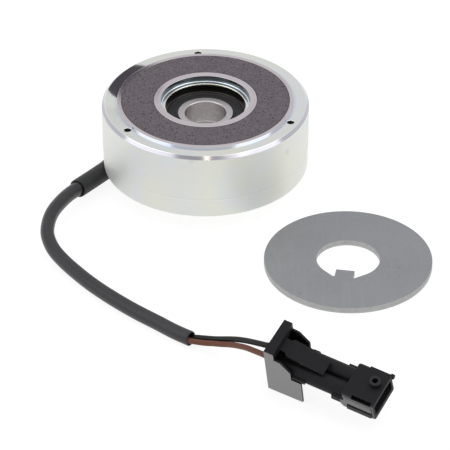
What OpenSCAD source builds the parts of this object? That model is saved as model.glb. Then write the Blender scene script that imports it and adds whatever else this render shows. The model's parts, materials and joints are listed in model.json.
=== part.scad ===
// Electromagnetic clutch with its loose armature disc and plugged lead.
// The magnet stands on its rear hub, the disc and the lead lie beside it.
// Z is the clutch axis, Z = 0 is the foot of the hub and the bench.

/* [Magnet body] */
// Outside diameter of the steel magnet body
body_d = 102; // [101.5:0.5:106]
// Height of the ground pole faces above the foot
pole_z = 45.2; // [44.8:0.1:48]
// How far the plated rim lies below the pole faces
rim_drop = 1; // [0.5:0.1:1.5]
// Bevel on the rim's outer edge
rim_bevel = 1.5; // [0.5:0.1:2]
// Outside diameter of the ground outer pole ring
pole_ring_d = 87; // [86:0.5:87.5]
// Height of the rear hub that carries the body
hub_h = 10; // [9.8:0.1:10.5]
// Diameter of the rear hub
hub_d = 60; // [56:1:62]
// Thickness of the rear flux plate
plate_t = 9.5; // [9:0.1:10]
// Circle of the three tapped holes in the rim
rim_pcd = 91.6; // [91.4:0.1:92]

/* [Friction lining and coil] */
// Outside diameter of the friction lining
lining_od = 82.8; // [82:0.1:82.9]
// Inside diameter of the friction lining
lining_id = 50.9; // [50.8:0.1:52]
// Thickness of the friction lining
lining_t = 4; // [3:0.5:4]

/* [Bearing] */
// Bore of the ball bearing
bearing_bore = 20; // [19:0.5:20]
// Outside diameter of the ball bearing
bearing_od = 42; // [42:0.5:42.5]
// Width of the ball bearing
bearing_w = 12; // [11.5:0.5:12]
// Depth of the bearing's face below the pole faces
bearing_depth = 7.5; // [7:0.1:8]
// Diameter of a ball
ball_d = 6.35; // [6:0.05:6.35]
// Number of balls
ball_count = 9; // [7:1:9]

/* [Armature disc] */
// Outside diameter of the armature disc
disc_d = 80.5; // [78:0.5:82]
// Centre hole of the armature disc
disc_hole_d = 30.4; // [29:0.2:32]
// Thickness of the armature disc
disc_t = 3.1; // [2.5:0.1:4]
// Width of the driving key in the hole
key_w = 8.9; // [8:0.1:10]
// Distance of the key's tip from the disc's centre
key_tip = 9.7; // [9:0.1:11]

/* [Lead] */
// Diameter of the jacketed cable
sheath_d = 7.1; // [6.8:0.1:7.1]
// Diameter of one insulated wire
wire_d = 2.7; // [2.4:0.1:2.7]
// Diameter of the strain relief sleeve
sleeve_d = 9.2; // [8.8:0.1:9.2]

/* [Connector] */
// Width of the socket box and the rear cap
plug_w = 18.8; // [18.6:0.1:19.4]
// Height of the rear cap
cap_h = 30.2; // [29.8:0.1:31]
// Length of the cap's side walls
cap_l = 17.4; // [17:0.1:18]
// Overall length of the connector
plug_l = 54.2; // [54.2:0.1:55]
// Diameter of the two wire tubes
tube_d = 8; // [7.8:0.1:8]

/* [Hidden] */
$fn = 96;
body_r = body_d / 2;
rim_z = pole_z - rim_drop;
plate_top = hub_h + plate_t;
shell_ir = 41.5;
core_r = 25.35;
bore_r = 21.9;
lip_r = 19.7;
lip_top = pole_z - 3.2;
seat_r = bearing_od / 2;
bearing_top = pole_z - bearing_depth;
bearing_bottom = bearing_top - bearing_w;
bearing_mid = bearing_top - bearing_w / 2;
ball_path_r = (bearing_bore + bearing_od) / 4;
race_r = ball_d / 2 + 0.07;
inner_ring_r = 13.6;
outer_ring_r = 18.4;
cage_half = 3.9;
seal_seat_r = 19;
seal_t = 1.2;
groove_r = seat_r + 1.25;
circlip_t = 1.6;
circlip_z = bearing_bottom - circlip_t;
lining_z = pole_z - 0.05 - lining_t;
resin_t = 1;
bobbin_z = plate_top;
bobbin_top = lining_z - resin_t;
bobbin_wall = 1.6;
bobbin_ir = core_r + 0.25;
bobbin_or = shell_ir - 0.3;
winding_or = 39.4;
tape_t = 0.6;
rim_hole_r = 1.65;
rim_hole_az = [95, 215, 335];
screw_az = [20, 140, 260];
screw_circle_r = 46;
outlet = [-34, 11.5];
outlet_r = 4;
disc_x = 68.5;
disc_y = -76;
key_az = -99.7;
key_half = key_w / 2;

// Sleeve: under the body it lies flat, outside it rises with the stiff cable.
sleeve_route = [[-43.9, 8.7, 4.7], [-49.5, -1.5, 4.8], [-56.2, -12.4, 6.3],
    [-63, -23.5, 8]];
elbow = [-41, 14];

// Cable jacket from inside the sleeve to its cut end.
sheath_route = [
    [-60, -18.6, 7.3], [-63, -23.5, 8], [-66.9, -29.8, 8.8], [-70.6, -37.2, 9.3],
    [-73.9, -45.4, 9.3], [-75.7, -53.9, 8.7], [-75.7, -62.7, 7.5], [-72.8, -71.6, 6],
    [-68, -79.2, 4.7], [-61.3, -88, 3.9], [-52.7, -98.7, 3.7], [-42.8, -109.4, 3.7],
    [-31.9, -119.8, 3.7], [-21.8, -128.3, 3.7], [-13.3, -135.6, 3.7], [-6, -141, 3.8]];

// Black wire, the one farther from the front.
black_route = [
    [-5.1, -139.8, 3.9], [-2.8, -140.9, 4.4], [0.5, -142.6, 5.3], [3.7, -144.9, 6.7],
    [6.9, -147.5, 8.5], [10.1, -150.3, 10.6], [13.3, -153.2, 12.7], [16.4, -156.4, 14.8],
    [19.6, -159.9, 16.8], [22.7, -163.4, 18.6], [25.8, -166.6, 20.1], [28.7, -169, 21.1],
    [34.5, -169.9, 21.5], [36.7, -171.1, 21.3], [42.8, -174.5, 20.6]];

// Brown wire, the nearer one.
brown_route = [
    [-6.9, -142.2, 3.8], [-2.7, -144.1, 4.2], [0.9, -146.3, 5.3], [4.6, -148.8, 6.9],
    [8.3, -152, 8.9], [11.9, -155.1, 11], [15.5, -158.9, 13.2], [19.1, -163.1, 15.3],
    [22.6, -167.7, 17.1], [25.3, -170.8, 18.1], [27.3, -173.1, 18.7], [30.7, -176.2, 18.8],
    [32.8, -177.5, 18.6], [38.9, -180.9, 17.8]];

// The plug lies rolled on its near side, on the lowest corner of its cap.
plug_turn = [20.3, 5.9, -29.2];
half_w = plug_w / 2;
plug_drop = cap_l * sin(plug_turn[1]) + half_w * cos(plug_turn[1]) * sin(plug_turn[0]);
plug_origin = [34, -167.4, plug_drop + 0.06];
cap_wall = 1;
bar_l = 4.1;
bar_t = 4.2;
tube_w = 16.2;
tube_v = 4;
cavity_r = 2.9;
cavity_end = 34;
seal_front = 9.5;
housing_rear = 2.3;
box_rear = 37.5;
box_bottom = 11;
box_top = 21;
box_round = 2;
// The socket box is wider than the cap, all of it on the far side.
box_v = 0.3;
mouth_half = 7.7;
mouth_low = 13.2;
mouth_high = 19.5;
mouth_depth = 14;

// A straight ring between two heights, given by radii.
module ring(outer, inner, z_low, z_high) {
    translate([0, 0, z_low])
        difference() {
            cylinder(r = outer, h = z_high - z_low);
            translate([0, 0, -1])
                cylinder(r = inner, h = z_high - z_low + 2);
        }
}

// Places its children at each azimuth on a circle.
module around(angles, radius) {
    for (az = angles)
        rotate([0, 0, az])
            translate([radius, 0, 0])
                children();
}

// A round rod from point a to point b.
module rod(a, b, d) {
    v = b - a;
    translate(a)
        rotate([0, acos(v[2] / norm(v)), atan2(v[1], v[0])])
            cylinder(d = d, h = norm(v));
}

function unit(v) = v / norm(v);
function tangent(path, i) =
    unit(path[min(i + 1, len(path) - 1)] - path[max(i - 1, 0)]);
function side_of(t) = unit(cross(t, [0, 0, 1]));

// A tube of the given number of sides swept along the points of a route.
module swept(path, d, sides) {
    n = len(path);
    rings = [for (i = [0:n - 1])
        let (t = tangent(path, i), s = side_of(t), u = cross(s, t))
        for (k = [0:sides - 1])
            let (a = 360 * (k + 0.5) / sides)
            path[i] + d / 2 * (cos(a) * s + sin(a) * u)];
    skin = [for (i = [0:n - 2], k = [0:sides - 1])
        let (a = i * sides + k, b = i * sides + (k + 1) % sides)
        [a, b, b + sides, a + sides]];
    first = [for (k = [sides - 1:-1:0]) k];
    last = [for (k = [0:sides - 1]) (n - 1) * sides + k];
    polyhedron(rings, concat(skin, [first, last]), convexity = 6);
}

// ---------------------------------------------------------------- magnet

module rim_hole() {
    translate([0, 0, rim_z - 12])
        cylinder(r = rim_hole_r, h = 13, $fn = 48);
    translate([0, 0, rim_z - 0.5])
        cylinder(r1 = rim_hole_r, r2 = rim_hole_r + 0.55, h = 0.55, $fn = 48);
}

module outer_pole_shell() {
    ring_r = pole_ring_d / 2;
    color("gainsboro")
        difference() {
            rotate_extrude()
                polygon([[shell_ir, plate_top], [body_r, plate_top],
                    [body_r, rim_z - rim_bevel], [body_r - rim_bevel, rim_z],
                    [ring_r, rim_z], [ring_r, pole_z], [shell_ir, pole_z]]);
            around(rim_hole_az, rim_pcd / 2)
                rim_hole();
            around(screw_az, screw_circle_r)
                translate([0, 0, plate_top - 1])
                    cylinder(r = 2, h = 12, $fn = 48);
        }
}

module base_plate() {
    edge_r = body_r - 0.25;
    foot_bore = seat_r + 1.5;
    color("gainsboro")
        difference() {
            rotate_extrude()
                polygon([[foot_bore, 0], [hub_d / 2, 0], [hub_d / 2, hub_h],
                    [edge_r - 0.6, hub_h], [edge_r, hub_h + 0.6], [edge_r, plate_top],
                    [core_r, plate_top], [core_r, plate_top - 5],
                    [foot_bore, plate_top - 5]]);
            around(screw_az, screw_circle_r) {
                translate([0, 0, hub_h - 1])
                    cylinder(r = 2.15, h = plate_t + 2, $fn = 48);
                translate([0, 0, hub_h - 0.01])
                    cylinder(r1 = 4.2, r2 = 2, h = 2.2, $fn = 48);
            }
            translate([outlet[0], outlet[1], hub_h - 1])
                cylinder(r = outlet_r, h = plate_t + 2, $fn = 48);
        }
}

module inner_pole_core() {
    color("silver")
        rotate_extrude()
            polygon([[seat_r, plate_top - 5], [core_r, plate_top - 5],
                [core_r, pole_z], [bore_r + 0.2, pole_z], [bore_r, pole_z - 0.2],
                [bore_r, lip_top + 0.6], [bore_r - 0.6, lip_top],
                [lip_r + 0.3, lip_top], [lip_r, lip_top - 0.3], [lip_r, bearing_top],
                [seat_r, bearing_top], [seat_r, bearing_bottom],
                [groove_r, bearing_bottom], [groove_r, circlip_z - 0.15],
                [seat_r, circlip_z - 0.15]]);
}

module base_screws() {
    color("dimgray")
        around(screw_az, screw_circle_r)
            difference() {
                union() {
                    translate([0, 0, hub_h + 0.1])
                        cylinder(r1 = 4, r2 = 1.95, h = 2.1, $fn = 48);
                    translate([0, 0, hub_h + 2.2])
                        cylinder(r = 1.95, h = plate_t + 6, $fn = 48);
                }
                translate([0, 0, hub_h])
                    cylinder(r = 1.4, h = 1.9, $fn = 6);
            }
}

module coil_bobbin() {
    color("ivory")
        rotate_extrude()
            polygon([[bobbin_ir, bobbin_z], [bobbin_or, bobbin_z],
                [bobbin_or, bobbin_z + bobbin_wall],
                [bobbin_ir + bobbin_wall, bobbin_z + bobbin_wall],
                [bobbin_ir + bobbin_wall, bobbin_top - bobbin_wall],
                [bobbin_or, bobbin_top - bobbin_wall],
                [bobbin_or, bobbin_top], [bobbin_ir, bobbin_top]]);
}

module coil_winding() {
    color("darkgoldenrod")
        ring(winding_or, bobbin_ir + bobbin_wall, bobbin_z + bobbin_wall,
            bobbin_top - bobbin_wall);
}

module winding_tape() {
    color("khaki")
        ring(winding_or + tape_t, winding_or, bobbin_z + bobbin_wall,
            bobbin_top - bobbin_wall);
}

module coil_leads() {
    color("firebrick")
        for (side = [-1, 1])
            translate([outlet[0], outlet[1] + side * 1.4, hub_h + 1])
                cylinder(r = 0.6, h = bobbin_z - hub_h - 1, $fn = 24);
}

module potting_ring() {
    color("darkolivegreen")
        ring(shell_ir - 0.05, core_r + 0.05, bobbin_top, lining_z);
}

module friction_lining() {
    color("dimgray")
        ring(lining_od / 2, lining_id / 2, lining_z, lining_z + lining_t);
}

// --------------------------------------------------------------- bearing

// The groove the balls run in, as a solid of revolution.
module ball_track() {
    translate([0, 0, bearing_mid])
        rotate_extrude()
            translate([ball_path_r, 0])
                circle(r = race_r, $fn = 64);
}

module bearing_outer_ring() {
    c = 0.6;
    color("lightsteelblue")
        difference() {
            rotate_extrude()
                polygon([[outer_ring_r, bearing_bottom + seal_t + 0.4],
                    [seal_seat_r, bearing_bottom + seal_t + 0.4],
                    [seal_seat_r, bearing_bottom], [seat_r - c, bearing_bottom],
                    [seat_r, bearing_bottom + c], [seat_r, bearing_top - c],
                    [seat_r - c, bearing_top], [seal_seat_r, bearing_top],
                    [seal_seat_r, bearing_top - seal_t - 0.4],
                    [outer_ring_r, bearing_top - seal_t - 0.4]]);
            ball_track();
        }
}

module bearing_inner_ring() {
    c = 0.6;
    r = bearing_bore / 2;
    color("lightsteelblue")
        difference() {
            rotate_extrude()
                polygon([[r + c, bearing_bottom], [inner_ring_r, bearing_bottom],
                    [inner_ring_r, bearing_top], [r + c, bearing_top],
                    [r, bearing_top - c], [r, bearing_bottom + c]]);
            ball_track();
        }
}

module ball_ring(r) {
    around([for (i = [0:ball_count - 1]) i * 360 / ball_count], ball_path_r)
        translate([0, 0, bearing_mid])
            sphere(r = r, $fn = 48);
}

module bearing_balls() {
    color("silver")
        ball_ring(ball_d / 2);
}

module bearing_cage() {
    color("goldenrod")
        difference() {
            ring(ball_path_r + 1, ball_path_r - 1, bearing_mid - cage_half,
                bearing_mid + cage_half);
            ball_ring(ball_d / 2 + 0.07);
        }
}

module seal_at(z) {
    color("black")
        rotate_extrude()
            polygon([[inner_ring_r + 0.12, z + 0.25], [inner_ring_r + 0.5, z],
                [seal_seat_r - 0.05, z], [seal_seat_r - 0.05, z + seal_t],
                [inner_ring_r + 0.5, z + seal_t],
                [inner_ring_r + 0.12, z + seal_t - 0.25]]);
}

module bearing_front_seal() {
    seal_at(bearing_top - seal_t - 0.3);
}

module bearing_rear_seal() {
    seal_at(bearing_bottom + 0.3);
}

module bearing_circlip() {
    gap = 6;
    color("slategray")
        difference() {
            union() {
                ring(groove_r - 0.1, seat_r - 2.2, circlip_z - 0.05, bearing_bottom - 0.1);
                for (side = [-1, 1])
                    rotate([0, 0, side * 17])
                        translate([seat_r - 3, 0, circlip_z - 0.05])
                            cylinder(r = 2, h = circlip_t - 0.05, $fn = 48);
            }
            translate([seat_r - 6, -gap / 2, circlip_z - 1])
                cube([10, gap, circlip_t + 2]);
            for (side = [-1, 1])
                rotate([0, 0, side * 17])
                    translate([seat_r - 3, 0, circlip_z - 1])
                        cylinder(r = 0.9, h = circlip_t + 2, $fn = 32);
        }
}

// ------------------------------------------------------------------ lead

module cable_outlet_boot() {
    run = sleeve_route[1] - sleeve_route[0];
    az = atan2(run[1], run[0]);
    dx = outlet[0] - elbow[0];
    dy = outlet[1] - elbow[1];
    color("black")
        difference() {
            union() {
                translate([elbow[0], elbow[1], 0.2])
                    rotate([0, 0, az])
                        translate([-5, -5, 0])
                            cube([11, 10, hub_h - 0.4]);
                translate([elbow[0], elbow[1], 3])
                    rotate([0, 0, atan2(dy, dx)])
                        translate([0, -2.8, 0])
                            cube([norm([dx, dy]), 5.6, hub_h - 3.5]);
                translate([outlet[0], outlet[1], 2.2])
                    cylinder(r = outlet_r - 0.05, h = plate_top - 2.2, $fn = 48);
            }
            translate([outlet[0], outlet[1], hub_h + 1])
                cylinder(r = 2.4, h = plate_t + 1, $fn = 48);
        }
}

module cable_sleeve() {
    color("black")
        difference() {
            swept(sleeve_route, sleeve_d, 12);
            rod(sheath_route[0], 2 * sleeve_route[3] - sheath_route[0], sheath_d);
        }
}

module cable_sheath() {
    color("dimgray")
        swept(sheath_route, sheath_d, 10);
}

module wire_black() {
    color("black")
        swept(black_route, wire_d, 8);
}

module wire_brown() {
    color("saddlebrown")
        swept(brown_route, wire_d, 8);
}

// --------------------------------------------------------- armature disc

module armature_disc() {
    hole_r = disc_hole_d / 2;
    relief_r = 0.6;
    relief_az = 40;
    relief_x = (hole_r - relief_r - (key_half + relief_r) * sin(relief_az))
        / cos(relief_az);
    color("darkgray")
        translate([disc_x, disc_y, 0])
            rotate([0, 0, key_az])
                difference() {
                    cylinder(d = disc_d, h = disc_t, $fn = 128);
                    difference() {
                        translate([0, 0, -1])
                            cylinder(r = hole_r, h = disc_t + 2);
                        translate([key_tip, -key_half, -2])
                            cube([hole_r, key_w, disc_t + 4]);
                    }
                    for (side = [-1, 1]) {
                        translate([relief_x, side * (key_half + relief_r), -1])
                            cylinder(r = relief_r, h = disc_t + 2, $fn = 32);
                        rotate([0, 0, side * relief_az])
                            translate([hole_r - 1.2, side < 0 ? 0 : -5.6, -1])
                                cube([1.2, 5.6, disc_t + 2]);
                    }
                }
}

// ------------------------------------------------------------- connector
// In the connector's own frame u (X) points to the mouth, v (Y) across
// and w (Z) up from the lower edge of the cap.

module in_plug_frame() {
    translate(plug_origin)
        rotate(plug_turn)
            children();
}

// A bar along u with a rounded section, exact arcs on its four edges.
module rounded_bar(u0, u1, half_v, w0, w1, r) {
    translate([u0, 0, (w0 + w1) / 2])
        rotate([90, 0, 90])
            linear_extrude(height = u1 - u0)
                rounded_section(half_v, (w1 - w0) / 2, r);
}

module rounded_section(half_x, half_y, r) {
    union() {
        square([2 * half_x - 2 * r, 2 * half_y], center = true);
        square([2 * half_x, 2 * half_y - 2 * r], center = true);
        for (x = [-1, 1], y = [-1, 1])
            translate([x * (half_x - r), y * (half_y - r)])
                circle(r = r, $fn = 32);
    }
}

// Children drawn once for each of the two wires.
module each_tube() {
    for (side = [-1, 1])
        translate([0, side * tube_v, tube_w])
            rotate([0, 90, 0])
                children();
}

module connector_housing() {
    color("black")
        in_plug_frame() {
            housing_shell();
            translate([52.5, half_w, 18.4])
                cube([1.7, 1.4, 2]);
        }
}

module housing_shell() {
    boss_u = 48.7;
    boss_v = 2.6;
    mouth_lean = 5;
    difference() {
        union() {
            each_tube()
                translate([0, 0, housing_rear])
                    cylinder(d = tube_d, h = box_rear + 1 - housing_rear);
            translate([housing_rear, -2.5, tube_w - 2])
                cube([box_rear - housing_rear, 5, 3]);
            translate([12.7, -9, tube_w - 0.8])
                cube([6.4, 2.2, 1.8]);
            translate([14.8, 6.85, tube_w - 0.8])
                cube([3.2, 1.7, 1.8]);
            rounded_bar(32.6, box_rear + 1, half_w - 0.2, 13.5, 17.4, 0.8);
            translate([0, box_v, 0])
                rounded_bar(box_rear, plug_l, half_w + box_v, box_bottom, box_top,
                    box_round);
            translate([40.6, -half_w - 0.4, 12.4])
                cube([12.1, 1.6, 2.8]);
            translate([42.8, 8.2, 18.6])
                cube([9.8, 1.7, 2.3]);
            translate([boss_u, boss_v, box_top - 0.5])
                cylinder(d = 5, h = 3, $fn = 48);
        }
        translate([boss_u, boss_v, box_top - 0.6])
            cylinder(d = 2.7, h = 4, $fn = 48);
        each_tube()
            translate([0, 0, housing_rear - 1])
                cylinder(r = cavity_r, h = cavity_end + 1 - housing_rear);
        each_tube()
            cylinder(r = 1.1, h = plug_l - mouth_depth + 1, $fn = 32);
        rounded_bar(plug_l - mouth_depth, plug_l + 1, mouth_half, mouth_low,
            mouth_high, 1.2);
        translate([42.3, -8.9, box_top - 2])
            cube([9.6, 1.8, 3]);
        translate([plug_l, -12, box_bottom])
            rotate([0, -mouth_lean, 0])
                cube([3, 24, 14]);
    }
}

// Side wall outline of the cap, in u and w, with its rear edge at rear.
module cap_side(rear, foot) {
    rotate([90, 0, 0])
        linear_extrude(height = cap_wall)
            polygon([[rear, foot], [cap_l, 0], [cap_l, tube_w - 1], [12.5, tube_w - 1],
                [12.5, 20.3], [7.4, 25.6], [bar_l, 25.9], [bar_l, cap_h], [rear, cap_h]]);
}

module connector_rear_cap() {
    wall_t = 2;
    skew = 0.4;
    slope = 12;
    tongue_t = 1.1;
    color("black")
        in_plug_frame()
            difference() {
                union() {
                    translate([0, half_w, 0])
                        cap_side(0, 0);
                    translate([0, cap_wall - half_w, 0])
                        cap_side(-skew, -0.5);
                    translate([0, 0, 6])
                        linear_extrude(height = cap_h - 6)
                            polygon([[-skew, -half_w], [wall_t, -half_w],
                                [wall_t, half_w], [0, half_w]]);
                    translate([0, 0, cap_h - bar_t])
                        linear_extrude(height = bar_t)
                            polygon([[-skew, -half_w], [bar_l + skew, -half_w],
                                [bar_l, half_w], [0, half_w]]);
                    translate([1, 0, 27.2])
                        rotate([0, slope, 0])
                            translate([0, 0, -tongue_t])
                                linear_extrude(height = tongue_t)
                                    polygon([[0, -3.4], [6, -3.4], [7.2, -4.65],
                                        [25.7, -3.95], [25.7, 3.95], [7.2, 4.65],
                                        [6, 3.4], [0, 3.4]]);
                }
                each_tube()
                    translate([0, 0, -1])
                        cylinder(r = 1.7, h = wall_t + 2, $fn = 32);
            }
}

module wire_seals() {
    color("darkorange")
        in_plug_frame()
            each_tube()
                difference() {
                    translate([0, 0, housing_rear + 0.4])
                        cylinder(r = cavity_r - 0.02, h = seal_front - housing_rear - 0.4);
                    cylinder(d = wire_d, h = seal_front + 1, $fn = 32);
                }
}

module terminal_pins() {
    color("gold")
        in_plug_frame()
            each_tube() {
                translate([0, 0, seal_front + 0.05])
                    cylinder(r = 1.5, h = cavity_end - seal_front - 0.5, $fn = 32);
                translate([0, 0, cavity_end - 1])
                    cylinder(r = 1.05, h = plug_l - mouth_depth - cavity_end + 1,
                        $fn = 32);
                translate([-0.4, -0.75, plug_l - mouth_depth - 1])
                    cube([0.8, 1.5, 8]);
            }
}

outer_pole_shell();
base_plate();
inner_pole_core();
base_screws();
coil_bobbin();
coil_winding();
winding_tape();
coil_leads();
potting_ring();
friction_lining();
bearing_outer_ring();
bearing_inner_ring();
bearing_balls();
bearing_cage();
bearing_front_seal();
bearing_rear_seal();
bearing_circlip();
cable_outlet_boot();
cable_sleeve();
cable_sheath();
wire_black();
wire_brown();
armature_disc();
connector_housing();
connector_rear_cap();
wire_seals();
terminal_pins();
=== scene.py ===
"""Electromagnetic clutch: the finishes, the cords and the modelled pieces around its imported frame.

Lengths in the property groups are millimetres; every mesh is made in metres, in the frame's axes.
"""

import json
import math

import bmesh
import bpy
from bpy.props import FloatProperty, FloatVectorProperty, IntProperty, PointerProperty
from mathutils import Matrix, Vector


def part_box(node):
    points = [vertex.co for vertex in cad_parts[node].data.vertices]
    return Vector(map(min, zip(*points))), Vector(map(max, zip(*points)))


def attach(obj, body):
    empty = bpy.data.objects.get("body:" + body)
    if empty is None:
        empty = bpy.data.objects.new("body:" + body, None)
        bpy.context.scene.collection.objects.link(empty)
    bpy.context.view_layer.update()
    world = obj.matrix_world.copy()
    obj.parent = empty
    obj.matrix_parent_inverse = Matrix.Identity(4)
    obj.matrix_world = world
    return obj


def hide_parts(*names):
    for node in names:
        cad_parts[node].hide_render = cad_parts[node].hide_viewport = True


bl_info = {
    "name": "Electromagnetic Clutch",
    "version": (1, 0, 0),
    "blender": (4, 5, 0),
    "location": "View3D > Sidebar > Clutch",
    "description": "Dresses the clutch, its armature disc and its plugged lead",
    "category": "Object",
}

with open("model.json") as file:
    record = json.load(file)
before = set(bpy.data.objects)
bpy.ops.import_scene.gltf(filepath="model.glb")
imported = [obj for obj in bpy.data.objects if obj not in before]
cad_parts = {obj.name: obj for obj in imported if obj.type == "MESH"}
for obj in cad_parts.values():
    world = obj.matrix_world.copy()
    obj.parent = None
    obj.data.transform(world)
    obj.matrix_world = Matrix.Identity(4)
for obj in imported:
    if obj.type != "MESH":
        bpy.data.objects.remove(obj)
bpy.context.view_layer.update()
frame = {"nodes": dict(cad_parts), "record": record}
MM = 0.001
PLUG_PLACE = Vector((34.0, -167.4, 5.093))
PLUG_TURN = Vector(math.radians(degrees) for degrees in (20.3, 5.9, -29.2))
PLUG_FRAME = (
    Matrix.Translation(PLUG_PLACE * MM)
    @ Matrix.Rotation(PLUG_TURN.z, 4, "Z")
    @ Matrix.Rotation(PLUG_TURN.y, 4, "Y")
    @ Matrix.Rotation(PLUG_TURN.x, 4, "X")
)
# Where the plug's corners face in its own frame, and how far a corner's cutter stands proud
PLUG_MIDDLE = (46.0, 0.0)
CUT_SPARE = 0.6
# The boss on the plug's socket, in its own frame, in metres
BOSS_CENTRE = (0.0487, 0.0026)
# Where the rim mirrors the dark card, and the card's own centre and half widths, in metres
MIRROR_CENTRE = (-0.039, 0.024)
CARD_CENTRE = Vector((-0.046, 0.290, 0.213))
CARD_REACH = (0.017, 0.0135)
# What the lamps are aimed at, in metres
LAMP_TARGET = Vector((0.0, -0.07, 0.02))
MOUNTS = {mount["name"]: mount for mount in frame["record"]["mounts"]}


def low(node):
    """Lowest corner of a CAD node, in millimetres."""
    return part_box(node)[0] / MM


def high(node):
    """Highest corner of a CAD node, in millimetres."""
    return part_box(node)[1] / MM


def around(azimuth, radius):
    """A point on a circle about the axis."""
    return Vector((radius * math.cos(azimuth), radius * math.sin(azimuth)))


def placed(name, data):
    """A new object, linked to the scene."""
    piece = bpy.data.objects.new(name, data)
    bpy.context.scene.collection.objects.link(piece)
    return piece


def dress(node, material):
    """Gives a CAD node its finish."""
    mesh = frame["nodes"][node].data
    mesh.materials.clear()
    mesh.materials.append(material)


# ------------------------------------------------------------ user settings


def length(name, default, description):
    """A length property in millimetres."""
    return FloatProperty(name=name, default=default, min=0.0, description=description, unit="NONE")


def angle(name, degrees, description):
    """An angle property."""
    return FloatProperty(name=name, default=math.radians(degrees), description=description, subtype="ANGLE")


def tint(name, default, description):
    """A colour property."""
    return FloatVectorProperty(
        name=name, default=default, min=0.0, max=1.0, size=3, description=description, subtype="COLOR"
    )


class ClutchSizes(bpy.types.PropertyGroup):
    """Sizes that the solids leave open, in millimetres."""

    rim_drop: length("Rim drop", 1.0, "How far the plated rim lies below the pole faces")
    rim_bevel: length("Rim bevel", 1.5, "Bevel on the rim's outer edge")
    ring_radius: length("Pole ring radius", 43.5, "Outside radius of the ground outer pole ring")
    wire_pitch: length("Winding pitch", 0.9, "Distance between two turns of the coil")
    plug_edge: length("Plug edge break", 0.22, "Rounding of the moulded edges of the plug")
    steps: IntProperty(name="Turning steps", default=224, min=48, description="Faces round a turned piece")
    hub_radius: length("Hub radius", 30.0, "Radius of the rear hub")
    hub_height: length("Hub height", 10.0, "Height of the rear hub")
    bore_radius: length("Bore radius", 21.9, "Radius of the bore above its lip")
    lip_radius: length("Lip radius", 19.7, "Radius inside the lip that holds the bearing")
    lip_depth: length("Lip depth", 3.2, "How far the lip lies below the pole faces")
    first_hole: angle("First rim hole", 95.0, "Azimuth of the first hole in the rim")
    first_screw: angle("First screw", 20.0, "Azimuth of the first screw under the plate")
    screw_circle: length("Screw circle", 46.0, "Radius of the circle of the screws")
    ball_diameter: length("Ball diameter", 6.35, "Diameter of a ball")
    ball_count: IntProperty(name="Balls", default=9, min=3, description="Number of balls")
    disc_hole: length("Disc hole", 30.4, "Diameter of the hole in the armature disc")
    key_width: length("Key width", 8.9, "Width of the driving key")
    key_tip: length("Key tip", 9.7, "Distance of the key's tip from the disc's centre")
    key_relief: length("Key relief", 0.6, "Radius of the relief at the key's root")
    relief_azimuth: angle("Relief azimuth", 40.0, "Where the hole leaves its circle")
    key_azimuth: angle("Key azimuth", -99.7, "Direction of the key from the disc's centre")
    cable_width: length("Cable width", 6.7, "Width of the cable's jacket")
    cable_height: length("Cable height", 7.4, "Height of the cable's jacket")
    jacket_wall: length("Jacket wall", 0.6, "Thickness of the jacket at its cut end")
    wire_diameter: length("Wire diameter", 2.7, "Diameter of one insulated wire")
    sleeve_diameter: length("Sleeve diameter", 9.2, "Diameter of the strain relief")


class ClutchColours(bpy.types.PropertyGroup):
    """Base colours of the finishes."""

    zinc: tint("Zinc plate", (0.84, 0.85, 0.82), "Bright zinc plate on the wall and the rim")
    zinc_warm: tint("Zinc, warm film", (0.87, 0.87, 0.77), "Yellowish film on the zinc")
    zinc_cool: tint("Zinc, cool film", (0.79, 0.85, 0.90), "Bluish film on the zinc")
    pole: tint("Ground steel", (0.66, 0.60, 0.62), "Ground pole faces")
    lining: tint("Friction lining", (0.140, 0.118, 0.134), "Ground friction compound")
    armature: tint("Armature steel", (0.325, 0.331, 0.347), "Flat face of the armature disc")
    rubber: tint("Black rubber", (0.014, 0.014, 0.0155), "Sleeve, boot and bearing seals")
    jacket: tint("Cable jacket", (0.024, 0.022, 0.026), "Jacket of the cable")
    black_wire: tint("Black wire", (0.0045, 0.0045, 0.0050), "Black insulation")
    brown_wire: tint("Brown wire", (0.150, 0.050, 0.026), "Brown insulation")
    bearing: tint("Bearing steel", (0.60, 0.56, 0.57), "Rings of the bearing")
    plug: tint("Plug plastic", (0.0075, 0.0075, 0.0090), "Moulded plug")


class StageSettings(bpy.types.PropertyGroup):
    """The camera and the light."""

    elevation: FloatProperty(
        name="Elevation",
        default=math.radians(34.547),
        subtype="ANGLE",
        description="Camera above the horizon",
    )
    lens: FloatProperty(name="Lens", default=228.5, description="Focal length in millimetres")
    camera_place: FloatVectorProperty(
        name="Camera place", default=(0.00963, -1.19169, 0.79062), description="Camera position in metres"
    )


# ------------------------------------------------------------- node helpers


def arithmetic(operation, swapped=False):
    """A Python operator that adds a Math node; swapped puts the signal second."""

    def operate(signal, other):
        node = signal.tree.nodes.new("ShaderNodeMath")
        node.operation = operation
        values = (other, signal) if swapped else (signal, other)
        for slot, value in zip(node.inputs, values):
            plug_in(signal.tree, slot, value)
        return Signal(signal.tree, node.outputs[0])

    return operate


class Signal:
    """A node socket that takes Python's arithmetic."""

    def __init__(self, tree, socket):
        self.tree = tree
        self.socket = socket

    __add__ = arithmetic("ADD")
    __radd__ = arithmetic("ADD", swapped=True)
    __sub__ = arithmetic("SUBTRACT")
    __rsub__ = arithmetic("SUBTRACT", swapped=True)
    __mul__ = arithmetic("MULTIPLY")
    __truediv__ = arithmetic("DIVIDE")
    __pow__ = arithmetic("POWER")


def plug_in(tree, slot, value):
    """Links a signal to a socket, or sets the socket's own value."""
    if isinstance(value, Signal):
        tree.links.new(value.socket, slot)
    elif isinstance(value, bpy.types.NodeSocket):
        tree.links.new(value, slot)
    else:
        slot.default_value = value


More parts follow.
